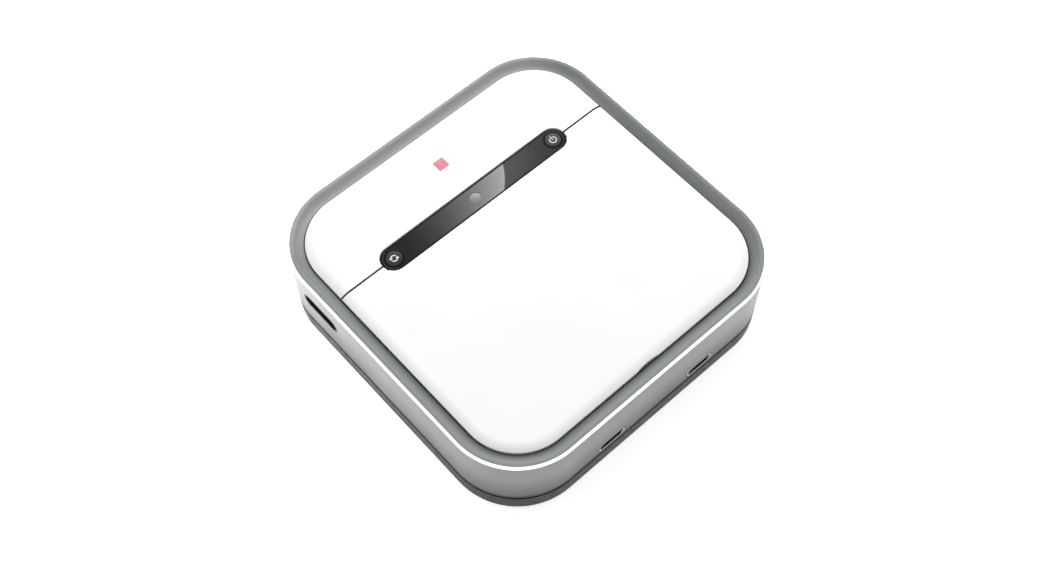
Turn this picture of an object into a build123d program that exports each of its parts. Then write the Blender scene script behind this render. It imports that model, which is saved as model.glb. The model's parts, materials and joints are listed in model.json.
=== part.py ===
from build123d import *
import math
import os

# Pocket mobile hotspot: a square, round-cornered case with a hinged front lid over the battery,
# a fixed rear cover, and a dark control panel that straddles the seam between the two.
# Millimetres. +Z is up, X runs along the seam, the ports face -Y. The origin is on the
# surface that the rubber feet rest on, under the middle of the case.

# ---- case ----
case_size = 105.0
case_corner = 21.0
base_bottom = 0.6
base_edge_radius = 1.2
base_floor_top = 2.6
seam_bottom = 6.9
seam_top = 7.8
bezel_seat = 25.4
wall_top = 26.8
lip_top = 27.65
wall_thickness = 2.2
wall_tongue = 0.9
fit_gap = 0.05
trim_width = 0.6
chamfer_width = 0.5
chamfer_height = 0.6

# ---- covers and the trough round them ----
cover_size = 95.4
cover_corner = 16.2
cover_top = 27.4
cover_bottom = 25.4
crown_radius = 6.0
crown_drop = 0.75
cover_opening = 96.4
bezel_flat = 1.2
channel_depth = 0.5
channel_drop = 1.5
channel_edge_radius = 1.0
flange_width = 2.0
flange_top = cover_bottom - 0.3
flange_bottom = cover_bottom - 1.7
liner_inset = 2.5
liner_thickness = 0.6
liner_rear = 15.4
rib_outside = (88.0, 13.0)
rib_width = 1.2
rib_height = 0.8
scoop_width = 8.0
scoop_depth = 0.35

# ---- seam and hinge ----
seam_y = 21.1
seam_gap = 0.35
hinge_back = 1.0
hinge_y = seam_y - seam_gap / 2 - hinge_back
hinge_z = 26.3
pin_radius = 0.35
ear_radius = 0.65
ear_clearance = 0.75
ear_width = 1.4
ear_places = (35.8, 44.0)
riser_top = 24.4
running_clearance = 0.05
lid_corner_radius = 0.5
hinge_notch = 1.9

# ---- control panel ----
panel_length = 66.1
panel_width = 7.4
panel_top = 27.1
panel_bottom = 22.4
panel_gap = 0.3
rim_width = 0.3
lens_bottom = 26.25
panel_board_thickness = 1.2
key_x = (panel_length - panel_width) / 2
key_radius = 2.5
key_ring_radius = 2.95
key_clearance = 0.15
key_travel = 0.4
flange_low, flange_high = 24.0, 24.8
status_radius = 1.8
status_sphere = 6.6
guide_radius = 1.2
switch_top = 23.2

# ---- ports and vent ----
port_x = 16.5
port_z = 10.5
port_opening = (10.0, 4.1)
port_bead = (9.5, 3.7)
port_gap_depth = 1.2
usb_shell_size = (8.94, 3.16)
usb_mouth_size = (8.34, 2.56)
usb_depth = 7.3
usb_back_wall = 0.8
usb_tongue_size = (6.7, 0.7)
usb_tongue_setback = 0.9
port_setback = 0.2

vent_y = 25.55
vent_z = 18.3
vent_size = (14.7, 5.3)
vent_wall = 0.6
vent_depth = 6.0
grille_setback = 3.2
grille_thickness = 0.8
grille_pitch = 1.7
grille_slot = (0.8, 2.8)

# ---- inside ----
board_x = (-32.0, 32.0)
board_y = (-49.4, 31.0)
board_bottom = 7.7
board_top = 8.7
shield_height = 2.0
pad_height = 0.8
spreader_height = 0.8
deck_floor_bottom = 12.8
deck_floor_top = 14.2
deck_size = 100.0
deck_wall = 1.5
deck_top = cover_bottom - 1.8
battery_size = (72.0, 50.0, 8.6)
battery_y = -11.0
battery_play = 0.4
frame_wall = 1.4
frame_top = 20.0
sim_x = (-44.6, -38.6)
sim_y = (-10.0, 6.0)
antenna_height = (15.0, 23.0)
antenna_thickness = 0.3
ribbon_y = seam_y + 3.1
magnet_place = (30.0, -41.2)
magnet_radius = 2.5
magnet_post_top = 23.0
snap_leg_x = 24.0
snap_leg_y = (38.0, 39.6)

# ---- feet and screws ----
post_place = 39.5
post_radius = 3.8
post_top = 5.4
foot_radius = 4.5
foot_inset = 0.5
label_size = (31.6, 17.6)
label_depth = 0.15
screw_head = (1.7, 1.0)
screw_shank = 0.8
board_screw_places = [(-29.0, 26.0), (29.0, 26.0), (-29.0, -38.0), (29.0, -38.0)]
deck_screw_places = [(-41.0, 28.0), (41.0, 28.0), (-41.0, -28.0), (41.0, -28.0)]

half = case_size / 2
corners = [(-1, -1), (1, -1), (1, 1), (-1, 1)]
sides = (-1, 1)


# ---- shapes used more than once ----
def square_slab(size, corner, bottom, top):
    """A round-cornered square slab between two heights."""
    outline = RectangleRounded(size, size, corner)
    return Pos(0, 0, bottom) * extrude(outline, amount=top - bottom)


def oblong(length, width, bottom, top, x=0.0, y=0.0):
    """An upright slab with full-round ends, its length along X."""
    return Pos(x, y, bottom) * extrude(SlotOverall(length, width), amount=top - bottom)


def block(x_range, y_range, z_range):
    """A box between two values on each axis."""
    size = [high - low for low, high in (x_range, y_range, z_range)]
    middle = [(high + low) / 2 for low, high in (x_range, y_range, z_range)]
    return Pos(*middle) * Box(*size)


def around(middle, width):
    """The two ends of a stretch of that width, for one axis of a block."""
    return (middle - width / 2, middle + width / 2)


def disc(radius, bottom, top, x=0.0, y=0.0):
    """An upright cylinder between two heights."""
    return Pos(x, y, (bottom + top) / 2) * Cylinder(radius, top - bottom)


def rod_x(radius, x_range, y, z):
    """A cylinder along X between two places."""
    length = x_range[1] - x_range[0]
    return Pos(sum(x_range) / 2, y, z) * Rot(0, 90, 0) * Cylinder(radius, length)


def join(pieces):
    """All the pieces as one shape."""
    whole = Part()
    for piece in pieces:
        whole += piece
    return whole


def wall_slot_y(size, y_range, x, z):
    """A full-round oblong bar along Y, for a port in the front wall."""
    face = Plane(origin=(x, y_range[1], z), x_dir=(1, 0, 0), z_dir=(0, -1, 0)) * SlotOverall(*size)
    return extrude(face, amount=y_range[1] - y_range[0])


def wall_slot_x(size, x_range, y, z):
    """A full-round oblong bar along X, for the vent in the left wall."""
    face = Plane(origin=(x_range[0], y, z), x_dir=(0, 1, 0), z_dir=(1, 0, 0)) * SlotOverall(*size)
    return extrude(face, amount=x_range[1] - x_range[0])


def ring_from_profile(profile):
    """Sweep a profile, drawn as (distance out from the side wall, height), round the case."""
    path = RectangleRounded(case_size, case_size, case_corner).wire()
    start = path @ 0
    outward = (path % 0).cross(Vector(0, 0, 1))
    if outward.dot(start) < 0:
        outward = -outward
    upright = Plane(origin=start, x_dir=outward, z_dir=outward.cross(Vector(0, 0, 1)))
    return sweep(upright * profile, path=path)


def polygon(points):
    """A filled polygon through the points."""
    return make_face(Polyline(*points, close=True).edges())


def crowned_cover():
    """The slab both covers are cut from, with a soft shoulder round its top."""
    fall = crown_radius - crown_drop
    spread = crown_radius - math.sqrt(crown_radius**2 - fall**2)
    wide = cover_size + 2 * spread
    slab = square_slab(wide, cover_corner + spread, cover_top - crown_radius - 1, cover_top)
    slab = fillet(slab.edges().group_by(Axis.Z)[-1], crown_radius)
    return slab & square_slab(cover_size, cover_corner, cover_bottom, cover_top)


def across_case(y_low, y_high):
    """A block right across the case between two Y values, taller than the covers."""
    return block((-half, half), (y_low, y_high), (flange_bottom - wall_thickness, lip_top))


def panel_hole():
    """The opening that the two covers leave round the control panel."""
    return oblong(panel_length + 2 * panel_gap, panel_width + 2 * panel_gap,
                  cover_bottom - 1, cover_top + 1, y=seam_y)


def foot_places():
    return [(sx * post_place, sy * post_place) for sx, sy in corners]


# ---- case ----
def make_base_shell():
    shell = square_slab(case_size, case_corner, base_bottom, seam_bottom)
    shell = fillet(shell.edges().group_by(Axis.Z)[0], base_edge_radius)
    inner = case_size - 2 * wall_thickness
    shell -= square_slab(inner, case_corner - wall_thickness, base_floor_top, seam_top)
    rebate = case_size - wall_thickness
    rebate_bottom = seam_bottom - wall_tongue - 2 * fit_gap
    shell -= square_slab(rebate, case_corner - wall_thickness / 2, rebate_bottom, seam_top)
    boss_radius = 2.6
    for x, y in board_screw_places:
        shell += disc(boss_radius, base_floor_top, board_bottom, x, y)
        shell -= disc(screw_shank, base_floor_top, board_bottom, x, y)
    for x, y in foot_places():
        shell += disc(post_radius, base_floor_top, post_top, x, y)
        shell -= foot_recess(x, y)
    return shell - block(around(0, label_size[0] + 0.4), around(0, label_size[1] + 0.4),
                         (base_bottom, base_bottom + label_depth))


def foot_recess(x, y):
    """The shallow foot pocket, the screw head's counterbore above it and the screw's hole."""
    pocket_radius = foot_radius + 0.1
    head_radius, head_top = 2.2, 3.4
    hole_radius = 1.15
    recess = disc(pocket_radius, base_bottom, base_bottom + foot_inset, x, y)
    recess += disc(head_radius, base_bottom, head_top, x, y)
    return recess + disc(hole_radius, base_bottom, post_top, x, y)


def make_side_frame():
    tongue_face = -wall_thickness / 2 - fit_gap
    tongue_bottom = seam_bottom - wall_tongue
    frame = ring_from_profile(polygon([
        (0, seam_top),
        (0, wall_top),
        (-trim_width, wall_top),
        (-trim_width, bezel_seat),
        (-wall_thickness, bezel_seat),
        (-wall_thickness, tongue_bottom),
        (tongue_face, tongue_bottom),
        (tongue_face, seam_top),
    ]))
    through = (-half - 1, -half + 2 * wall_thickness)
    for side in sides:
        frame -= wall_slot_y(port_opening, through, side * port_x, port_z)
    return frame - wall_slot_x(vent_size, through, vent_y, vent_z)


def make_edge_trim():
    return ring_from_profile(polygon([
        (0, wall_top),
        (0, lip_top - chamfer_height),
        (-chamfer_width, lip_top),
        (-trim_width, lip_top),
        (-trim_width, wall_top),
    ]))


def make_bezel_ring():
    """The silver ring between the edge trim and the covers, with a trough all round its top."""
    inner_x = -(case_size - cover_opening) / 2
    flange_x = inner_x - flange_width
    section = polygon([
        (-trim_width, bezel_seat),
        (-trim_width, lip_top),
        (inner_x, lip_top),
        (inner_x, flange_top),
        (flange_x, flange_top),
        (flange_x, flange_bottom),
        (-wall_thickness, flange_bottom),
        (-wall_thickness, bezel_seat),
    ])
    rim = Vector(-trim_width - bezel_flat, lip_top)
    foot = Vector(inner_x, lip_top - channel_drop)
    chord = foot - rim
    radius = chord.length**2 / (8 * channel_depth) + channel_depth / 2
    upward = Vector(chord.Y, -chord.X).normalized()
    middle = (rim + foot) * 0.5 + upward * (radius - channel_depth)
    section -= Pos(middle.X, middle.Y) * Circle(radius)
    rim_vertex = min(section.vertices(), key=lambda vertex: (vertex.center() - rim).length)
    ring = ring_from_profile(fillet(rim_vertex, channel_edge_radius))
    return ring - block(around(0, cover_opening), around(hinge_y, 2 * hinge_notch),
                        (flange_bottom - 1, cover_bottom))


def make_rear_cover():
    cover = crowned_cover() & across_case(seam_y + seam_gap / 2, half)
    cover -= panel_hole()
    leg_width = 8.0
    legs = [block(around(side * snap_leg_x, leg_width), snap_leg_y, (deck_floor_top, cover_bottom))
            for side in sides]
    return cover + join(legs)


def make_rubber_feet():
    edge_round = 0.3
    feet = [disc(foot_radius, 0, base_bottom + foot_inset, x, y) for x, y in foot_places()]
    return join([fillet(foot.edges().group_by(Axis.Z)[0], edge_round) for foot in feet])


def make_rating_label():
    return block(around(0, label_size[0]), around(0, label_size[1]), (base_bottom, base_bottom + label_depth))


# ---- screws ----
def screw(x, y, head_range, shank_range, head_radius, shank_radius):
    """An upright screw with a cross recess in the end of its head that faces away from the shank."""
    arm = (1.6, 0.4)
    low, high = head_range
    middle = (low + high) / 2
    recess_range = (low, middle) if shank_range[1] > high else (middle, high)
    cross = block(around(x, arm[0]), around(y, arm[1]), recess_range)
    cross += block(around(x, arm[1]), around(y, arm[0]), recess_range)
    return disc(head_radius, low, high, x, y) + disc(shank_radius, *shank_range, x, y) - cross


def make_base_screws():
    head_range, tip = (1.9, 3.4), 11.0
    return join([screw(x, y, head_range, (head_range[1], tip), 1.9, 1.0) for x, y in foot_places()])


def downward_screws(places, seat, length):
    """Identical screws with their heads on a surface and their shanks below it."""
    radius, height = screw_head
    return join([screw(x, y, (seat, seat + height), (seat - length, seat), radius, screw_shank)
                 for x, y in places])


def make_board_screws():
    return downward_screws(board_screw_places, board_top, 5.0)


def make_deck_screws():
    return downward_screws(deck_screw_places, deck_floor_top, 5.0)


# ---- ports and vent ----
def make_port_trims():
    """A light bead round each port, on a back plate that leaves a dark gap about the bead."""
    trims = []
    for side in sides:
        place = (side * port_x, port_z)
        bead = wall_slot_y(port_bead, (-half, -half + wall_thickness), *place)
        plate = wall_slot_y(port_opening, (-half + port_gap_depth, -half + wall_thickness), *place)
        trims.append(bead + plate - wall_slot_y(usb_shell_size, (-half - 1, -half + 4), *place))
    return join(trims)


def usb_range(front_offset=0.0, back_offset=0.0):
    """The Y range of a port's shell, moved in at its front or back."""
    front = -half + port_setback
    return (front + front_offset, front + usb_depth - back_offset)


def make_usb_shells():
    leg_x, leg_width = 3.6, 0.6
    leg_y = (usb_range()[0] + 4.2, usb_range()[0] + 5.4)
    leg_top = port_z - usb_shell_size[1] / 2 + 0.15
    shells = []
    for side in sides:
        x = side * port_x
        shell = wall_slot_y(usb_shell_size, usb_range(), x, port_z)
        shell -= wall_slot_y(usb_mouth_size, usb_range(-1, usb_back_wall), x, port_z)
        legs = [block(around(x + leg * leg_x, leg_width), leg_y, (board_top, leg_top)) for leg in sides]
        shells.append(join([shell, *legs]))
    return join(shells)


def make_usb_tongues():
    root_depth = 1.2
    width, thickness = usb_tongue_size
    tongues = []
    for side in sides:
        x = side * port_x
        root = wall_slot_y(usb_mouth_size, usb_range(usb_depth - usb_back_wall - root_depth, usb_back_wall),
                           x, port_z)
        blade = block(around(x, width), usb_range(usb_tongue_setback, usb_back_wall),
                      around(port_z, thickness))
        tongues.append(root + blade)
    return join(tongues)


def vent_inside():
    return (vent_size[0] - 2 * vent_wall, vent_size[1] - 2 * vent_wall)


def make_vent_liner():
    liner = wall_slot_x(vent_size, (-half, -half + vent_depth), vent_y, vent_z)
    return liner - wall_slot_x(vent_inside(), (-half - 1, -half + vent_depth + 1), vent_y, vent_z)


def make_vent_grille():
    front = -half + grille_setback
    width, height = grille_slot
    plate = wall_slot_x(vent_inside(), (front, front + grille_thickness), vent_y, vent_z)
    for index in range(-3, 4):
        plate -= block((front - 1, front + 2), around(vent_y + index * grille_pitch, width),
                       around(vent_z, height))
    return plate


# ---- electronics ----
def make_main_board():
    board = block(board_x, board_y, (board_bottom, board_top))
    for x, y in board_screw_places:
        board -= disc(screw_shank + 0.1, board_bottom - 1, board_top + 1, x, y)
    return board


def shield_can(x_range, y_range):
    """A pressed steel lid: a thin box open underneath, on the board."""
    sheet = 0.3
    corner = 0.8
    top = board_top + shield_height
    can = block(x_range, y_range, (board_top, top))
    can = fillet(can.edges().filter_by(Axis.Z), corner)
    inner_x = (x_range[0] + sheet, x_range[1] - sheet)
    inner_y = (y_range[0] + sheet, y_range[1] - sheet)
    return can - block(inner_x, inner_y, (board_top - 1, top - sheet))


def make_modem_shield():
    return shield_can((-24, 4), (-12, 18))


def make_processor_shield():
    return shield_can((8, 26), (-12, 12))


def make_board_chips():
    """The modem and processor under their shields, and three power chips near the ports."""
    chip_height = 1.2
    power_height = 1.8
    power_y = (-36, -32)
    chips = [block(x_range, y_range, (board_top, board_top + chip_height))
             for x_range, y_range in (((-20, -2), (-8, 12)), ((10, 22), (-8, 6)))]
    chips += [block(around(x, 4), power_y, (board_top, board_top + power_height)) for x in (-8, 0, 8)]
    return join(chips)


def make_thermal_pads():
    z_range = (board_top + shield_height, board_top + shield_height + pad_height)
    return join([block(x_range, (-9, 9), z_range) for x_range in ((-20, 4), (8, 22))])


def make_heat_spreader():
    bottom = board_top + shield_height + pad_height
    plate = block((-26, 26), (-22, 20), (bottom, bottom + spreader_height))
    return fillet(plate.edges().filter_by(Axis.Z), 3.0)


# ---- deck and battery ----
def make_inner_deck():
    """The black deck under the covers, with the ribbon's slot and the bores of its screws."""
    deck = square_slab(deck_size, deck_corner(), deck_floor_bottom, deck_floor_top)
    deck -= block(around(0, 8.6), around(ribbon_y, 0.8), (deck_floor_bottom - 1, deck_floor_top + 1))
    for x, y in deck_screw_places:
        deck -= disc(screw_shank, deck_floor_bottom - 1, deck_floor_top + 1, x, y)
    return deck


def deck_corner():
    return case_corner - (case_size - deck_size) / 2


def make_deck_posts():
    """The posts and bosses under the deck, bored for the screws from below and from above."""
    post_bore_top = 11.0
    boss_radius, boss_bottom, boss_bore_bottom = 2.2, 8.6, 9.2
    posts = []
    for x, y in foot_places():
        post = disc(post_radius - 0.4, post_top, deck_floor_bottom, x, y)
        posts.append(post - disc(1.0, post_top, post_bore_top, x, y))
    for x, y in deck_screw_places:
        boss = disc(boss_radius, boss_bottom, deck_floor_bottom, x, y)
        posts.append(boss - disc(screw_shank, boss_bore_bottom, deck_floor_bottom, x, y))
    return join(posts)


def make_magnet_posts():
    x, y = magnet_place
    return join([disc(magnet_radius + 0.5, deck_floor_top, magnet_post_top, side * x, y) for side in sides])


def make_panel_pillars():
    """Four pillars on the deck's floor that carry the control panel's board."""
    pillar = (5.0, 6.0)
    return join([block(around(x, pillar[0]), around(seam_y, pillar[1]),
                       (deck_floor_top, panel_bottom - panel_board_thickness))
                 for x in (-22, -7.5, 7.5, 22)])


def make_deck_rim():
    """The upright wall round the deck, open behind the vent."""
    inside = deck_size - 2 * deck_wall
    rim = square_slab(deck_size, deck_corner(), deck_floor_top, deck_top)
    rim -= square_slab(inside, deck_corner() - deck_wall, deck_floor_top - 1, deck_top + 1)
    return rim - block((-half, -half + vent_depth + 2.5), around(vent_y, 16.0), around(vent_z, 6.8))


def battery_well():
    """The well's X and Y ranges, with the battery's play all round."""
    length, width, _ = battery_size
    return around(0, length + 2 * battery_play), around(battery_y, width + 2 * battery_play)


def make_battery_frame():
    x_range, y_range = battery_well()
    outside_x = (x_range[0] - frame_wall, x_range[1] + frame_wall)
    outside_y = (y_range[0] - frame_wall, y_range[1] + frame_wall)
    frame = block(outside_x, outside_y, (deck_floor_top, frame_top))
    return frame - block(x_range, y_range, (deck_floor_top - 1, frame_top + 1))


def make_battery_pack():
    length, width, height = battery_size
    pack = block(around(0, length), around(battery_y, width), (deck_floor_top, deck_floor_top + height))
    return fillet(pack.edges(), 1.6)


def make_battery_label():
    top = deck_floor_top + battery_size[2]
    label = block(around(0, 60), around(battery_y, 42), (top, top + 0.1))
    return fillet(label.edges().filter_by(Axis.Z), 2.0)


def make_battery_contacts():
    """Three spring contacts in the play between the battery's rear end and its frame."""
    back = battery_y + battery_size[1] / 2
    middle_x, pitch, width = 15.0, 3.2, 1.4
    y_range, z_range = (back + 0.02, back + battery_play), (15.5, 19.5)
    return join([block(around(middle_x + index * pitch, width), y_range, z_range) for index in (-1, 0, 1)])


def make_sim_socket():
    floor_thickness, roof_bottom, height, rail = 0.3, 1.1, 1.5, 0.5
    plate = block(sim_x, sim_y, (deck_floor_top, deck_floor_top + floor_thickness))
    roof = block(sim_x, sim_y, (deck_floor_top + roof_bottom, deck_floor_top + height))
    rails = join([block(around(x, rail), sim_y, (deck_floor_top, deck_floor_top + height))
                  for x in (sim_x[0] + rail / 2, sim_x[1] - rail / 2)])
    return plate + roof + rails


def make_sim_card():
    inset, push = 0.6, 1.0
    return block((sim_x[0] + inset, sim_x[1] - inset), (sim_y[0] + push, sim_y[1] + push),
                 (deck_floor_top + 0.35, deck_floor_top + 1.05))


def make_cellular_antennas():
    """Flat antenna plates standing inside the left and right walls of the deck."""
    wall = deck_size / 2 - deck_wall
    return join([block(sorted((side * wall, side * (wall - antenna_thickness))), (-24, 10), antenna_height)
                 for side in sides])


def make_wifi_antenna():
    wall = deck_size / 2 - deck_wall
    return block((-16, 16), (wall - antenna_thickness, wall), antenna_height)


# ---- control panel ----
def lens_size():
    return (panel_length - 2 * rim_width, panel_width - 2 * rim_width)


def make_panel_housing():
    ceiling = 24.9
    length, width = lens_size()
    cavity_wall = 0.6
    housing = oblong(panel_length, panel_width, panel_bottom, panel_top, y=seam_y)
    housing = chamfer(housing.edges().group_by(Axis.Z)[-1], 0.15)
    housing -= oblong(length, width, lens_bottom, panel_top + 1, y=seam_y)
    housing -= oblong(length - 2 * cavity_wall, width - 2 * cavity_wall, panel_bottom - 1, ceiling, y=seam_y)
    for side in sides:
        housing -= disc(key_radius + key_clearance, flange_low, lens_bottom + 1, side * key_x, seam_y)
    return housing - disc(guide_radius, flange_low, lens_bottom + 1, 0, seam_y)


def make_panel_lens():
    fit = 0.1
    below_rim = 0.05
    length, width = lens_size()
    lens = oblong(length - fit, width - fit, lens_bottom, panel_top - below_rim, y=seam_y)
    for side in sides:
        lens -= disc(key_ring_radius, lens_bottom - 1, panel_top + 1, side * key_x, seam_y)
    return lens - disc(status_radius, lens_bottom - 1, panel_top + 1, 0, seam_y)


def make_key_rings():
    rings = []
    for side in sides:
        x = side * key_x
        ring = disc(key_ring_radius, lens_bottom, panel_top + 0.05, x, seam_y)
        ring = fillet(ring.edges().group_by(Axis.Z)[-1], 0.15)
        rings.append(ring - disc(key_radius + key_clearance, lens_bottom - 1, panel_top + 1, x, seam_y))
    return join(rings)


def make_status_light():
    """A low domed diffuser."""
    stem = disc(status_radius, lens_bottom, panel_top + 1, 0, seam_y)
    return stem & (Pos(0, seam_y, panel_top + 0.1 - status_sphere) * Sphere(status_sphere))


def make_light_guide():
    return disc(guide_radius, switch_top - 0.2, lens_bottom, 0, seam_y)


def make_panel_board():
    return oblong(panel_length, panel_width, panel_bottom - panel_board_thickness, panel_bottom, y=seam_y)


def make_status_led():
    return block(around(0, 1.6), around(seam_y, 1.6), (panel_bottom, switch_top - 0.2))


def make_tact_switches():
    body_size, body_top, plunger_radius = 3.8, 23.0, 0.9
    switches = []
    for side in sides:
        x = side * key_x
        body = block(around(x, body_size), around(seam_y, body_size), (panel_bottom, body_top))
        switches.append(body + disc(plunger_radius, body_top, switch_top, x, seam_y))
    return join(switches)


def make_panel_ribbon():
    """A flat ribbon that drops from the panel's board, through the deck, to the main board."""
    socket_top = board_top + 0.8
    drop = block(around(0, 8), around(ribbon_y, 0.2), (socket_top, panel_bottom - panel_board_thickness))
    return drop + block(around(0, 9.2), around(ribbon_y, 2.0), (board_top, socket_top))


def make_key(side):
    x = side * key_x
    stem_radius, stem_gap = 0.8, 0.05
    cap = disc(key_radius, flange_low + 0.4, panel_top + 0.05, x, seam_y)
    cap = fillet(cap.edges().group_by(Axis.Z)[-1], 0.3)
    flange = disc(key_radius + 0.3, flange_low, flange_high, x, seam_y)
    return cap + flange + disc(stem_radius, switch_top + key_travel + stem_gap, flange_low, x, seam_y)


def make_power_key():
    return make_key(1)


def make_function_key():
    return make_key(-1)


# ---- front lid ----
def lid_blank():
    """The lid's outline: the crowned slab in front of the seam, less the control panel's notch."""
    lid = crowned_cover() & across_case(-half, seam_y - seam_gap / 2)
    rear_edge = [edge for edge in lid.edges().filter_by(Axis.X)
                 if edge.center().Z > cover_top - 0.1 and edge.center().Y > seam_y - 1]
    return fillet(rear_edge, lid_corner_radius) - panel_hole()


def swing_relief(side):
    """The sliver beside the panel's round end that lets the lid clear the panel as it opens."""
    start, reach = 0.3, 0.85
    near, far = panel_length / 2 - start, panel_length / 2 + 0.1
    x_range = (near, far) if side > 0 else (-far, -near)
    return block(x_range, (hinge_y - reach, seam_y + 1), (cover_bottom - 1, cover_top + 1))


def finger_scoop():
    """A shallow fingernail scoop in the middle of the lid's front edge."""
    radius = (scoop_width**2 / 4 + scoop_depth**2) / (2 * scoop_depth)
    return disc(radius, cover_bottom - 1, cover_top + 1, 0, -cover_size / 2 - radius + scoop_depth)


def hinge_pocket(side, x):
    """The pocket under the lid's rear edge that a hinge ear turns in."""
    return block(around(side * x, ear_width + 0.2), (hinge_y - ear_clearance, seam_y + 1),
                 (cover_bottom - 1, hinge_z + ear_clearance))


def pin_range(side, overhang):
    """The X range of one side's hinge pin or bore, past the middles of its two ears."""
    return sorted((side * (ear_places[0] - overhang), side * (ear_places[1] + overhang)))


def make_front_cover():
    recess = square_slab(cover_size - 2 * liner_inset, cover_corner - liner_inset,
                         cover_bottom - 1, cover_bottom + liner_thickness)
    lid = lid_blank() - finger_scoop() - (recess & across_case(-half, liner_rear + 0.1))
    for side in sides:
        lid -= swing_relief(side)
        for x in ear_places:
            lid -= hinge_pocket(side, x)
        lid -= rod_x(pin_radius + running_clearance, pin_range(side, 0.75), hinge_y, hinge_z)
    return lid


def make_lid_liner():
    """The black inner panel of the lid, with a rib round it and two magnet pockets."""
    inset = liner_inset + 0.2
    plate = square_slab(cover_size - 2 * inset, cover_corner - inset,
                        cover_bottom, cover_bottom + liner_thickness)
    size, corner = rib_outside
    rib = square_slab(size, corner, cover_bottom - rib_height, cover_bottom)
    rib -= square_slab(size - 2 * rib_width, corner - rib_width, cover_bottom - 1, cover_bottom)
    liner = (plate + rib) & across_case(-half, liner_rear - 0.1)
    magnet_x, magnet_y = magnet_place
    for side in sides:
        liner += disc(magnet_radius + 0.9, cover_bottom - rib_height, cover_bottom, side * magnet_x, magnet_y)
    return liner - make_lid_magnets()


def magnet_pair(bottom, top):
    x, y = magnet_place
    return join([disc(magnet_radius, bottom, top, side * x, y) for side in sides])


def make_lid_magnets():
    return magnet_pair(cover_bottom - rib_height, cover_bottom + 0.2)


def make_deck_magnets():
    return magnet_pair(magnet_post_top, magnet_post_top + 1.3)


def make_hinge_brackets():
    """Two brackets on the deck, each a riser with two ears for its pin."""
    brackets = []
    for side in sides:
        bracket = block(pin_range(side, ear_width / 2), around(hinge_y, 2.0), (deck_floor_top, riser_top))
        for x in ear_places:
            ear_x = around(side * x, ear_width)
            bracket += block(ear_x, around(hinge_y, 2 * ear_radius), (riser_top, hinge_z))
            bracket += rod_x(ear_radius, ear_x, hinge_y, hinge_z)
            bracket -= rod_x(pin_radius, ear_x, hinge_y, hinge_z)
        brackets.append(bracket)
    return join(brackets)


def make_hinge_pins():
    return join([rod_x(pin_radius, pin_range(side, 0.7), hinge_y, hinge_z) for side in sides])


nodes = {
    "base_shell": make_base_shell,
    "side_frame": make_side_frame,
    "edge_trim": make_edge_trim,
    "bezel_ring": make_bezel_ring,
    "rear_cover": make_rear_cover,
    "rubber_feet": make_rubber_feet,
    "rating_label": make_rating_label,
    "base_screws": make_base_screws,
    "board_screws": make_board_screws,
    "deck_screws": make_deck_screws,
    "port_trims": make_port_trims,
    "usb_shells": make_usb_shells,
    "usb_tongues": make_usb_tongues,
    "vent_liner": make_vent_liner,
    "vent_grille": make_vent_grille,
    "main_board": make_main_board,
    "modem_shield": make_modem_shield,
    "processor_shield": make_processor_shield,
    "board_chips": make_board_chips,
    "thermal_pads": make_thermal_pads,
    "heat_spreader": make_heat_spreader,
    "inner_deck": make_inner_deck,
    "deck_posts": make_deck_posts,
    "magnet_posts": make_magnet_posts,
    "panel_pillars": make_panel_pillars,
    "deck_rim": make_deck_rim,
    "battery_frame": make_battery_frame,
    "battery_pack": make_battery_pack,
    "battery_label": make_battery_label,
    "battery_contacts": make_battery_contacts,
    "sim_socket": make_sim_socket,
    "sim_card": make_sim_card,
    "cellular_antennas": make_cellular_antennas,
    "wifi_antenna": make_wifi_antenna,
    "panel_housing": make_panel_housing,
    "panel_lens": make_panel_lens,
    "key_rings": make_key_rings,
    "status_light": make_status_light,
    "light_guide": make_light_guide,
    "panel_board": make_panel_board,
    "status_led": make_status_led,
    "tact_switches": make_tact_switches,
    "panel_ribbon": make_panel_ribbon,
    "hinge_brackets": make_hinge_brackets,
    "hinge_pins": make_hinge_pins,
    "deck_magnets": make_deck_magnets,
    "front_cover": make_front_cover,
    "lid_liner": make_lid_liner,
    "lid_magnets": make_lid_magnets,
    "power_key": make_power_key,
    "function_key": make_function_key,
}

os.makedirs("parts", exist_ok=True)
for name, make in nodes.items():
    shape = make()
    shape.label = name
    export_step(shape, f"parts/{name}.step")
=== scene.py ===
import json
import math

import bmesh
import bpy
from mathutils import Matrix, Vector


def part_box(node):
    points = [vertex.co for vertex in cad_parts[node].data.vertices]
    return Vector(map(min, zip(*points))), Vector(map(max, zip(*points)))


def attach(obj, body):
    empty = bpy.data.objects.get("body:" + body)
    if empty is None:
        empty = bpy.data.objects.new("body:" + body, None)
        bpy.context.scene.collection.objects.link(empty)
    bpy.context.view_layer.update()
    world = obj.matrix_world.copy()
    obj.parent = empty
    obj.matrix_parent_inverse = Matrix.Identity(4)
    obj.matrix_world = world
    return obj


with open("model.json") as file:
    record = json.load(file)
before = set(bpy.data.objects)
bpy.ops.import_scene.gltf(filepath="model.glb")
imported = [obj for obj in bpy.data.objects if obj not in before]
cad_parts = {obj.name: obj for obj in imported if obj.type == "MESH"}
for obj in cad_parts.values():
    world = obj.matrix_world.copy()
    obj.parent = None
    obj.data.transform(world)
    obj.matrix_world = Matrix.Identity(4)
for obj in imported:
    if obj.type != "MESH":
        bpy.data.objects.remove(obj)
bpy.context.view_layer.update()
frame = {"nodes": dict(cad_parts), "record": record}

NODES = frame["nodes"]
MM = 0.001


def middle_of(node):
    """The middle of a CAD node's box."""
    low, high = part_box(node)
    return (Vector(low) + Vector(high)) / 2


# ---- sizes of the case that the frame does not give ----
CASE_CORNER = 21 * MM
WALL_TONGUE = 0.9 * MM
GROOVE_HEIGHT = 0.9 * MM

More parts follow.
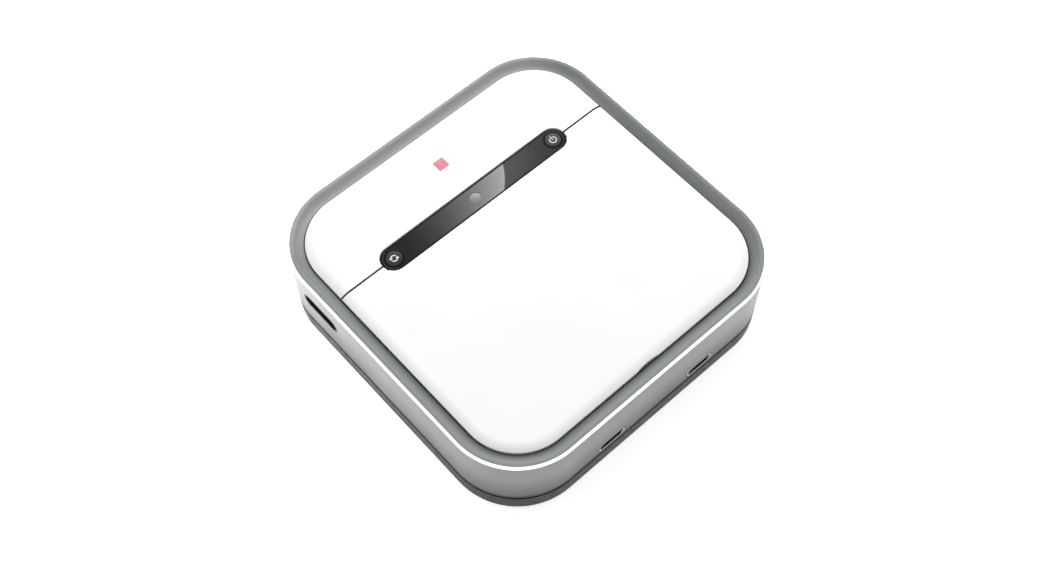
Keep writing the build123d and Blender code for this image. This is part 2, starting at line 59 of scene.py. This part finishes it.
# ---- places, from the frame ----
SEAM_Y = middle_of("panel_lens").y
PANEL_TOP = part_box("panel_lens")[1][2]
CAP_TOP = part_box("power_key")[1][2]
COVER_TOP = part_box("rear_cover")[1][2]
WALL_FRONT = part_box("side_frame")[0][1]
LEDGE_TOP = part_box("side_frame")[0][2] + WALL_TONGUE
WALL_BOTTOM = LEDGE_TOP + GROOVE_HEIGHT
CASE_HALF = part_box("side_frame")[1][0]

# ---- reach of the painted shade ----
SEAM_SHADE_REACH = 0.20 * MM
PORT_UNSHADED_DEPTH = 0.30 * MM
PORT_SHADE_DEPTH = 16 * MM
PORTS_SHADE_REACH = 25 * MM

# ---- printed marks ----
MARK_MIDDLE = Vector((0, 35.95 * MM))
MARK_SIZE = 3.5 * MM
MARK_CORNER = 0.35 * MM
MARK_PROUD = 0.01 * MM
SYMBOL_PROUD = 0.015 * MM
PRINT_SUNK = 0.02 * MM

# ---- light and floor ----
LIGHT_AZIMUTH = math.radians(138)
LIGHT_ELEVATION = math.radians(38)
LIGHT_DISTANCE = 1.2
LIGHT_SIZE = (0.9, 0.7)
LIGHT_WATTS = 14.0
WORLD_STRENGTH = 0.62
FLOOR_REACH = 6.0
FLOOR_HEIGHT = -0.02 * MM
LENS_CARD_CENTRE = Vector((0.223, 0.273, 0.528))
BAND_RADIUS = 0.9

# ---- camera ----
# The view is down on the front left corner of the square case, with the ports at the lower right.
VIEW_AZIMUTH = math.radians(-42.02)
VIEW_ELEVATION = math.radians(59.40)
VIEW_DISTANCE = 0.4025
VIEW_TARGET = Vector((0, 0, 0.0245))
LENS_MM = 50.19
SHIFT = (-0.0015, -0.0317)


def direction(azimuth, elevation):
    """The unit vector from the object towards a viewer at that azimuth and elevation."""
    flat = math.cos(elevation)
    return Vector((math.sin(azimuth) * flat, -math.cos(azimuth) * flat, math.sin(elevation)))


def make_camera():
    data = bpy.data.cameras.new("camera")
    data.lens = LENS_MM
    data.sensor_width = 36.0
    data.shift_x, data.shift_y = SHIFT
    data.clip_start = 0.01
    data.clip_end = 20.0
    data.dof.use_dof = False
    camera = bpy.data.objects.new("camera", data)
    bpy.context.scene.collection.objects.link(camera)
    back = direction(VIEW_AZIMUTH, VIEW_ELEVATION)
    camera.location = VIEW_TARGET + back * VIEW_DISTANCE
    camera.rotation_mode = "QUATERNION"
    camera.rotation_quaternion = (-back).to_track_quat("-Z", "Y")
    bpy.context.scene.camera = camera


# ---- shader nodes ----
class Shader:
    """A node material with one Principled shader, and short calls for the nodes it is built from."""

    def __init__(self, name, **settings):
        self.material = bpy.data.materials.new(name)
        self.material.use_nodes = True
        self.tree = self.material.node_tree
        self.surface = self.tree.nodes["Principled BSDF"]
        for socket, value in settings.items():
            self.surface.inputs[socket.replace("_", " ")].default_value = value
        self.place = self.tree.nodes.new("ShaderNodeTexCoord").outputs["Object"]

    def link(self, source, target):
        self.tree.links.new(source, target)

    def scaled(self, scale):
        """Object coordinates, stretched by a scale for each axis."""
        mapping = self.tree.nodes.new("ShaderNodeMapping")
        mapping.inputs["Scale"].default_value = scale
        self.link(self.place, mapping.inputs["Vector"])
        return mapping.outputs["Vector"]

    def noise(self, scale, detail=3.0, stretch=None):
        node = self.tree.nodes.new("ShaderNodeTexNoise")
        node.inputs["Scale"].default_value = scale
        node.inputs["Detail"].default_value = detail
        self.link(self.scaled(stretch) if stretch else self.place, node.inputs["Vector"])
        return node.outputs["Fac"]

    def cells(self, scale):
        node = self.tree.nodes.new("ShaderNodeTexVoronoi")
        node.inputs["Scale"].default_value = scale
        self.link(self.place, node.inputs["Vector"])
        return node

    def axis(self, name):
        """One object coordinate."""
        parts = self.tree.nodes.new("ShaderNodeSeparateXYZ")
        self.link(self.place, parts.inputs["Vector"])
        return parts.outputs[name]

    def from_square(self, reach):
        """The distance from an upright square column of that half width, round its corners."""
        vector = self.place
        steps = (("ABSOLUTE", (0, 0, 0)), ("SUBTRACT", (reach, reach, 1)), ("MAXIMUM", (0, 0, 0)))
        for operation, amount in steps:
            node = self.tree.nodes.new("ShaderNodeVectorMath")
            node.operation = operation
            self.link(vector, node.inputs[0])
            node.inputs[1].default_value = amount
            vector = node.outputs["Vector"]
        length = self.tree.nodes.new("ShaderNodeVectorMath")
        length.operation = "LENGTH"
        self.link(vector, length.inputs[0])
        return length.outputs["Value"]

    def within(self, source, middle, reach):
        """One where a value is within reach of the middle, and nought elsewhere."""
        compare = self.tree.nodes.new("ShaderNodeMath")
        compare.operation = "COMPARE"
        compare.inputs[1].default_value = middle
        compare.inputs[2].default_value = reach
        self.link(source, compare.inputs[0])
        return compare.outputs["Value"]

    def both(self, first, second):
        """The product of two masks."""
        multiply = self.tree.nodes.new("ShaderNodeMath")
        multiply.operation = "MULTIPLY"
        self.link(first, multiply.inputs[0])
        self.link(second, multiply.inputs[1])
        return multiply.outputs["Value"]

    def spread(self, source, low, high, start=0.3, end=0.7):
        """A value remapped from start..end to low..high."""
        node = self.tree.nodes.new("ShaderNodeMapRange")
        node.inputs["From Min"].default_value = start
        node.inputs["From Max"].default_value = end
        node.inputs["To Min"].default_value = low
        node.inputs["To Max"].default_value = high
        self.link(source, node.inputs["Value"])
        return node.outputs["Result"]

    def ramp(self, source, *stops):
        """A colour ramp from (position, colour) stops."""
        node = self.tree.nodes.new("ShaderNodeValToRGB")
        elements = node.color_ramp.elements
        while len(elements) < len(stops):
            elements.new(0.5)
        for element, (position, colour) in zip(elements, stops):
            element.position = position
            element.color = (*colour, 1)
        self.link(source, node.inputs["Fac"])
        return node.outputs["Color"]

    def colour(self, source, dark, light, start=0.3, end=0.7):
        self.link(self.ramp(source, (start, dark), (end, light)), self.surface.inputs["Base Color"])

    def blend_over(self, mask, colour):
        """Lays a flat colour over the base colour, as strongly as the mask says."""
        base = self.surface.inputs["Base Color"].links[0].from_socket
        mix = self.tree.nodes.new("ShaderNodeMixRGB")
        self.link(mask, mix.inputs["Fac"])
        self.link(base, mix.inputs["Color1"])
        mix.inputs["Color2"].default_value = (*colour, 1)
        self.link(mix.outputs["Color"], self.surface.inputs["Base Color"])

    def roughness(self, source, low, high, start=0.3, end=0.7):
        self.link(self.spread(source, low, high, start, end), self.surface.inputs["Roughness"])

    def bump(self, source, height, strength=1.0):
        """Raised relief of that height in metres."""
        node = self.tree.nodes.new("ShaderNodeBump")
        node.inputs["Distance"].default_value = height
        node.inputs["Strength"].default_value = strength
        self.link(source, node.inputs["Height"])
        self.link(node.outputs["Normal"], self.surface.inputs["Normal"])


def grey(value, tint=(1.0, 1.0, 1.0)):
    return tuple(value * part for part in tint)


COOL = (0.985, 1.0, 1.015)
WARM = (1.01, 1.0, 0.985)


# ---- materials ----
def white_gloss():
    """Polished white plastic, with painted shade on the two faces of the narrow seam."""
    m = Shader("white_gloss", IOR=1.46, Coat_Weight=0.15, Coat_Roughness=0.05)
    m.colour(m.noise(35), grey(0.87, WARM), grey(0.885))
    # painted shade: the covers' faces at the seam are darkened
    m.blend_over(m.within(m.axis("Y"), SEAM_Y, SEAM_SHADE_REACH), grey(0.16))
    m.roughness(m.noise(60), 0.20, 0.28)
    m.bump(m.noise(420, detail=1.0), 0.000003)
    return m.material


def satin_silver(name, dark, light, tint, metallic=0.6, rough=(0.36, 0.44)):
    """Satin metallic paint with a fine flake."""
    m = Shader(name, Metallic=metallic, IOR=1.5)
    flakes = m.cells(26000)
    m.colour(flakes.outputs["Distance"], grey(dark, tint), grey(light, tint), 0.1, 0.6)
    m.roughness(m.noise(90), *rough)
    m.bump(m.noise(5200, detail=2.0), 0.000003)
    return m


def wall_silver():
    """The side wall's paint, with painted shade that darkens it towards its foot, and painted shade that
    turns it black in the groove and in the recesses round the ports.
    """
    m = satin_silver("satin_silver", 0.20, 0.235, (1.0, 1.0, 1.0))
    height = m.axis("Z")
    shade_top = WALL_BOTTOM + 11.5 * MM
    foot_low, foot_high = WALL_BOTTOM + 0.6 * MM, WALL_BOTTOM + 1.7 * MM
    # painted shade: the wall darkens towards its foot
    m.blend_over(m.spread(height, 0.72, 0.0, WALL_BOTTOM, shade_top), grey(0.02))
    # painted shade: black just above the groove
    m.blend_over(m.spread(height, 1.0, 0.0, foot_low, foot_high), grey(0.008))
    # painted shade: black in the recesses round the ports
    reveal_shade = m.within(m.axis("Y"), WALL_FRONT + 1.2 * MM, 1.1 * MM)
    m.blend_over(m.both(reveal_shade, m.within(m.axis("X"), 0.0, PORTS_SHADE_REACH)), grey(0.008))
    return m.material


def bezel_silver():
    """The trough's paint: a flatter, cooler silver than the wall's, with painted light towards the rear and
    a painted shadow beside the front cover."""
    m = satin_silver("satin_silver_bezel", 0.205, 0.235, (0.95, 1.0, 1.03), 0.0, (0.55, 0.65))
    m.surface.inputs["Specular IOR Level"].default_value = 0.3
    across = m.axis("Y")
    radius = m.from_square(CASE_HALF - CASE_CORNER)
    # painted shadow of the front cover on the trough, on the front and left sides only
    cover_shadow = m.spread(radius, 0.62, 0.0, CASE_CORNER - 4.0 * MM, CASE_CORNER - 2.3 * MM)
    front = m.spread(across, 1.0, 0.0, 10 * MM, 40 * MM)
    # painted light: the trough is lighter towards the rear
    rear = m.spread(across, 0.0, 1.0, 38 * MM, 47 * MM)
    m.blend_over(m.both(cover_shadow, front), (0.02, 0.024, 0.024))
    m.blend_over(rear, grey(0.34, WARM))
    return m.material


def polished_edge():
    m = Shader("polished_edge", Metallic=1.0)
    m.colour(m.noise(260, stretch=(1, 1, 30)), grey(0.95), grey(0.99))
    m.roughness(m.noise(300, stretch=(1, 1, 40)), 0.14, 0.20)
    m.bump(m.noise(900, stretch=(1, 1, 25)), 0.0000002)
    return m.material


def moulded(name, dark, light, rough=(0.42, 0.55), grain=0.00001, scale=3600):
    """Injection-moulded plastic with a fine spark-eroded grain."""
    m = Shader(name, IOR=1.48)
    m.colour(m.noise(70), grey(dark), grey(light))
    m.roughness(m.noise(500), *rough)
    m.bump(m.noise(scale, detail=4.0), grain)
    return m


def base_plastic():
    """The lower shell's moulded plastic, with painted shade that turns the ledge under the wall black."""
    m = moulded("base_plastic", 0.016, 0.024)
    m.surface.inputs["Specular IOR Level"].default_value = 0.25
    # painted shade on the ledge, in the groove under the wall
    m.blend_over(m.within(m.axis("Z"), LEDGE_TOP, 0.1 * MM), grey(0.004))
    return m.material


def gloss_black(name, dark, light, rough, specular=0.5, relief=0.000001):
    m = Shader(name, IOR=1.5, Specular_IOR_Level=specular)
    m.colour(m.noise(120), grey(dark, WARM), grey(light, WARM))
    m.roughness(m.noise(240), *rough)
    m.bump(m.noise(700, detail=1.0), relief)
    return m.material


def metal(name, dark, light, rough=(0.2, 0.32), stretch=(1, 30, 30), tint=(1, 1, 1)):
    """Drawn or turned metal, with fine lines along its grain."""
    m = Shader(name, Metallic=1.0)
    lines = m.noise(240, stretch=stretch)
    m.colour(lines, grey(dark, tint), grey(light, tint))
    m.roughness(lines, *rough)
    m.bump(lines, 0.000002)
    return m


def port_metal(name, dark, light):
    """Metal that is bright at the wall's face, with painted shade that blackens it deeper in the port."""
    m = metal(name, dark, light)
    # painted shade: the metal is blackened deeper in the port
    port_shade = m.within(m.axis("Y"), WALL_FRONT + PORT_UNSHADED_DEPTH + PORT_SHADE_DEPTH / 2, PORT_SHADE_DEPTH / 2)
    m.blend_over(port_shade, grey(0.012))
    return m.material


def frosted():
    """The status light's diffuser."""
    m = Shader("status_frost", IOR=1.46)
    m.colour(m.noise(900), grey(0.20), grey(0.23))
    m.roughness(m.noise(1500), 0.38, 0.46)
    m.bump(m.noise(6000), 0.000003)
    return m.material


def clear_acrylic():
    m = Shader("clear_guide", IOR=1.49, Transmission_Weight=0.9)
    m.colour(m.noise(200), grey(0.85), grey(0.9, COOL))
    m.roughness(m.noise(300), 0.04, 0.12)
    return m.material


def circuit_board():
    m = Shader("board_green", IOR=1.5)
    tracks = m.cells(700)
    tracks.distance = "CHEBYCHEV"
    m.colour(tracks.outputs["Distance"], (0.012, 0.085, 0.032), (0.03, 0.15, 0.06), 0.2, 0.35)
    m.roughness(m.noise(600), 0.25, 0.4)
    m.bump(tracks.outputs["Distance"], 0.00002)
    return m.material


def film(name, dark, light, rough=(0.3, 0.45)):
    m = Shader(name, IOR=1.45)
    m.colour(m.noise(300), dark, light, 0.35, 0.65)
    m.roughness(m.noise(500), *rough)
    m.bump(m.noise(900), 0.000004)
    return m.material


def make_materials():
    """One material for each of the record's slots."""
    return {
        "white_gloss": white_gloss(),
        "satin_silver": wall_silver(),
        "satin_silver_bezel": bezel_silver(),
        "polished_edge": polished_edge(),
        "base_plastic": base_plastic(),
        "foot_rubber": moulded("foot_rubber", 0.02, 0.03, (0.7, 0.85)).material,
        "label_film": film("label_film", grey(0.62), grey(0.68)),
        "steel_screw": metal("steel_screw", 0.45, 0.6).material,
        "port_metal": port_metal("port_metal", 0.46, 0.56),
        "usb_steel": port_metal("usb_steel", 0.50, 0.60),
        "usb_black": moulded("usb_black", 0.008, 0.012, (0.5, 0.6)).material,
        "vent_black": moulded("vent_black", 0.008, 0.012).material,
        "board_green": circuit_board(),
        "tin_can": metal("tin_can", 0.55, 0.66, tint=WARM).material,
        "chip_black": moulded("chip_black", 0.02, 0.03, (0.5, 0.6)).material,
        "thermal_grey": moulded("thermal_grey", 0.3, 0.36, (0.7, 0.8)).material,
        "spreader_aluminium": metal("spreader_aluminium", 0.68, 0.78).material,
        "deck_black": moulded("deck_black", 0.022, 0.032).material,
        "battery_wrap": film("battery_wrap", grey(0.06), grey(0.075)),
        "gold_contact": metal("gold_contact", 0.9, 1.0, tint=(0.95, 0.72, 0.32)).material,
        "card_white": film("card_white", grey(0.74), grey(0.8)),
        "antenna_film": film("antenna_film", (0.3, 0.12, 0.03), (0.42, 0.19, 0.05)),
        "panel_black": gloss_black("panel_black", 0.003, 0.005, (0.24, 0.32), 0.1),
        "panel_smoke": gloss_black("panel_smoke", 0.020, 0.026, (0.004, 0.010), 0.5, 0.0000001),
        "status_frost": frosted(),
        "clear_guide": clear_acrylic(),
        "led_white": film("led_white", grey(0.8), (0.9, 0.85, 0.5)),
        "switch_black": moulded("switch_black", 0.03, 0.045).material,
        "ribbon_amber": film("ribbon_amber", (0.4, 0.17, 0.03), (0.52, 0.25, 0.05)),
        "steel_pin": metal("steel_pin", 0.6, 0.72).material,
        "magnet_nickel": metal("magnet_nickel", 0.42, 0.5, (0.3, 0.4)).material,
        "key_black": gloss_black("key_black", 0.008, 0.012, (0.30, 0.38), 0.25),
    }


def dress_nodes(materials):
    """Gives every CAD node its slot's material, and shading that is smooth over curved faces only."""
    slots = {part["node"]: part["material_slot"] for part in frame["record"]["subparts"]}
    for name, node in NODES.items():
        mesh = node.data
        mesh.materials.clear()
        mesh.materials.append(materials[slots[name]])
        if "custom_normal" in mesh.attributes:
            mesh.attributes.remove(mesh.attributes["custom_normal"])
        for polygon in mesh.polygons:
            polygon.use_smooth = True
        weld = node.modifiers.new("weld", "WELD")
        weld.merge_threshold = 1e-6
        split = node.modifiers.new("split", "EDGE_SPLIT")
        split.split_angle = math.radians(28)
        split.use_edge_sharp = False


# ---- the prints ----
def prism(name, outlines, low, high, body, material):
    """A flat raised print: each outline, a list of (x, y), drawn up from low to high."""
    shape = bmesh.new()
    for outline in outlines:
        floor = [shape.verts.new((x, y, low)) for x, y in outline]
        roof = [shape.verts.new((x, y, high)) for x, y in outline]
        shape.faces.new(list(reversed(floor)))
        shape.faces.new(roof)
        for index in range(len(outline)):
            after = (index + 1) % len(outline)
            shape.faces.new((floor[index], floor[after], roof[after], roof[index]))
    bmesh.ops.recalc_face_normals(shape, faces=shape.faces)
    bmesh.ops.triangulate(shape, faces=shape.faces)
    mesh = bpy.data.meshes.new(name)
    shape.to_mesh(mesh)
    shape.free()
    mesh.materials.append(material)
    piece = bpy.data.objects.new(name, mesh)
    bpy.context.scene.collection.objects.link(piece)
    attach(piece, body)


def arc(middle, radius, start, end, steps=24):
    """Points along an arc, with angles in degrees from +X."""
    angles = [math.radians(start + (end - start) * step / steps) for step in range(steps + 1)]
    return [(middle.x + radius * math.cos(angle), middle.y + radius * math.sin(angle)) for angle in angles]


def arc_band(middle, radius, width, start, end):
    return arc(middle, radius + width / 2, start, end) + arc(middle, radius - width / 2, end, start)


def rounded_square(middle, size, corner):
    """A square with round corners."""
    reach = size / 2 - corner
    points = []
    for quarter in range(4):
        angle = math.radians(45 + 90 * quarter)
        centre = Vector((middle.x + math.copysign(reach, math.cos(angle)),
                         middle.y + math.copysign(reach, math.sin(angle))))
        points += arc(centre, corner, 90 * quarter, 90 * quarter + 90, steps=8)
    return points


def power_symbol(middle):
    """An open ring with an upright bar in its gap."""
    radius, stroke, gap = 1.0 * MM, 0.29 * MM, 33
    ring = arc_band(middle, radius, stroke, 90 + gap, 450 - gap)
    left, right = middle.x - stroke / 2, middle.x + stroke / 2
    low, high = middle.y + 0.05 * MM, middle.y + 1.4 * MM
    return [ring, [(left, low), (right, low), (right, high), (left, high)]]


def cycle_symbol(middle):
    """Two arrows that chase each other round a ring."""
    radius, stroke, head = 0.9 * MM, 0.36 * MM, 0.55 * MM
    outlines = []
    for start in (20, 200):
        end = start + 125
        outlines.append(arc_band(middle, radius, stroke, start, end))
        angle = math.radians(end)
        outward = Vector((math.cos(angle), math.sin(angle)))
        forward = Vector((-math.sin(angle), math.cos(angle)))
        root = Vector((middle.x, middle.y)) + outward * radius
        outlines.append([tuple(root - outward * head), tuple(root + outward * head),
                         tuple(root + forward * 1.25 * head)])
    return outlines


def make_marks():
    """The two key symbols and a plain red mark on the rear cover."""
    ink = film("key_ink", grey(0.66), grey(0.72))
    red = film("red_ink", (0.62, 0.15, 0.20), (0.70, 0.19, 0.25))
    low, high = CAP_TOP - PRINT_SUNK, CAP_TOP + SYMBOL_PROUD
    prism("power_symbol", power_symbol(middle_of("power_key")), low, high,
          "power_button", ink)
    prism("function_symbol", cycle_symbol(middle_of("function_key")), low, high,
          "function_button", ink)
    mark = rounded_square(MARK_MIDDLE, MARK_SIZE, MARK_CORNER)
    prism("red_mark", [mark], COVER_TOP - PRINT_SUNK, COVER_TOP + MARK_PROUD,
          "chassis", red)


# ---- studio ----
def link_stage(name, vertices, faces):
    """A mesh that belongs to the studio and not to the object."""
    mesh = bpy.data.meshes.new(name)
    mesh.from_pydata(vertices, [], faces)
    stage = bpy.data.objects.new(name, mesh)
    bpy.context.scene.collection.objects.link(stage)
    return stage


def make_floor():
    """A white light table: it glows a little, and more towards the back."""
    quarters = ((-1, -1), (1, -1), (1, 1), (-1, 1))
    corners = [(x * FLOOR_REACH, y * FLOOR_REACH, FLOOR_HEIGHT) for x, y in quarters]
    floor = link_stage("floor", corners, [(0, 1, 2, 3)])
    m = Shader("floor", Roughness=0.9, Specular_IOR_Level=0.0)
    m.colour(m.noise(3), grey(0.90), grey(0.92))
    m.surface.inputs["Emission Color"].default_value = (1, 1, 1, 1)
    glow = m.spread(m.axis("Y"), 0.62, 1.5, -0.045, 0.05)
    m.link(glow, m.surface.inputs["Emission Strength"])
    floor.data.materials.append(m.material)


def glow_material(name):
    """Light whose strength is stored at each point of the card."""
    material = bpy.data.materials.new(name)
    material.use_nodes = True
    tree = material.node_tree
    tree.nodes.remove(tree.nodes["Principled BSDF"])
    emission = tree.nodes.new("ShaderNodeEmission")
    strength = tree.nodes.new("ShaderNodeAttribute")
    strength.attribute_name = "glow"
    tree.links.new(strength.outputs["Fac"], emission.inputs["Strength"])
    tree.links.new(emission.outputs["Emission"], tree.nodes["Material Output"].inputs["Surface"])
    return material


def grid_faces(rows, columns, first=0):
    """The faces of a grid of points that is stored row by row from the point called first."""
    faces = []
    for row in range(rows - 1):
        for column in range(columns - 1):
            corner = first + row * columns + column
            faces.append((corner, corner + 1, corner + columns + 1, corner + columns))
    return faces


def make_card(name, vertices, glow, faces):
    """A glowing card that shows only in glossy reflections."""
    card = link_stage(name, vertices, faces)
    card.data.attributes.new("glow", "FLOAT", "POINT").data.foreach_set("value", glow)
    card.data.materials.append(glow_material(name + "_glow"))
    card.visible_camera = False
    card.visible_diffuse = False
    card.visible_shadow = False
    card.visible_transmission = False


def make_lens_card():
    """A soft card, hung where the panel's lens mirrors it, that fades out to the left.

    Its points are laid out on the lens, in X and Y, and thrown from there onto the card's plane."""
    left, right = -30 * MM, 36 * MM
    half_width, half_rows, columns = 6.5 * MM, 6, 21
    viewer = VIEW_TARGET + direction(VIEW_AZIMUTH, VIEW_ELEVATION) * VIEW_DISTANCE
    mirrored = Vector((viewer.x, viewer.y, 2 * PANEL_TOP - viewer.z))
    facing = (LENS_CARD_CENTRE - mirrored).normalized()

    def card_point(x, y):
        ray = Vector((x, y, PANEL_TOP)) - mirrored
        return mirrored + ray * ((LENS_CARD_CENTRE - mirrored).dot(facing) / ray.dot(facing))

    def edge(y):
        """Where the bright part ends, on a curve across the lens."""
        across = (y - SEAM_Y) / (3.3 * MM)
        return (10.9 + 2.7 * across - 0.45 * across * across) * MM

    def bright(x, y):
        along = (x - left) / (edge(y) - left)
        return 9.2 * along**2.35

    def dim(x, y):
        return 1.7 - 1.9 * (x - edge(y)) / (30 * MM)

    rows = [SEAM_Y + (row / half_rows - 1) * half_width for row in range(2 * half_rows + 1)]
    vertices, glow, faces = [], [], []
    for start, end, strength in ((lambda y: left, edge, bright), (edge, lambda y: right, dim)):
        faces += grid_faces(len(rows), columns, len(vertices))
        for y in rows:
            for column in range(columns):
                x = start(y) + (end(y) - start(y)) * column / (columns - 1)
                vertices.append(card_point(x, y))
                glow.append(strength(x, y))
    make_card("lens_card", vertices, glow, faces)


def make_front_band():
    """A long curved card low in front, which the polished chamfer mirrors as its bright line."""
    azimuths = [math.radians(-130 + 8 * step) for step in range(22)]
    rows = [(math.radians(elevation), strength) for elevation, strength in ((1, 0.0), (6, 2.1), (46, 2.1))]
    vertices = [direction(azimuth, elevation) * BAND_RADIUS for elevation, _ in rows for azimuth in azimuths]
    glow = [strength for _, strength in rows for _ in azimuths]
    make_card("front_band", vertices, glow, grid_faces(len(rows), len(azimuths)))


def make_light():
    """The only lamp: a large soft box, high behind the case on the right."""
    data = bpy.data.lights.new("back_box", "AREA")
    data.shape = "RECTANGLE"
    data.size, data.size_y = LIGHT_SIZE
    data.energy = LIGHT_WATTS
    light = bpy.data.objects.new("back_box", data)
    bpy.context.scene.collection.objects.link(light)
    towards = direction(LIGHT_AZIMUTH, LIGHT_ELEVATION)
    light.location = towards * LIGHT_DISTANCE
    light.rotation_mode = "QUATERNION"
    light.rotation_quaternion = (-towards).to_track_quat("-Z", "Y")


def make_world():
    world = bpy.data.worlds.new("world")
    bpy.context.scene.world = world
    world.use_nodes = True
    background = world.node_tree.nodes["Background"]
    background.inputs["Color"].default_value = (1.0, 1.0, 0.99, 1)
    background.inputs["Strength"].default_value = WORLD_STRENGTH


def make_studio():
    bpy.context.scene.view_settings.view_transform = "Standard"
    make_world()
    make_light()
    make_floor()
    make_lens_card()
    make_front_band()


# ---- the making ----
make_camera()
make_studio()
dress_nodes(make_materials())
make_marks()
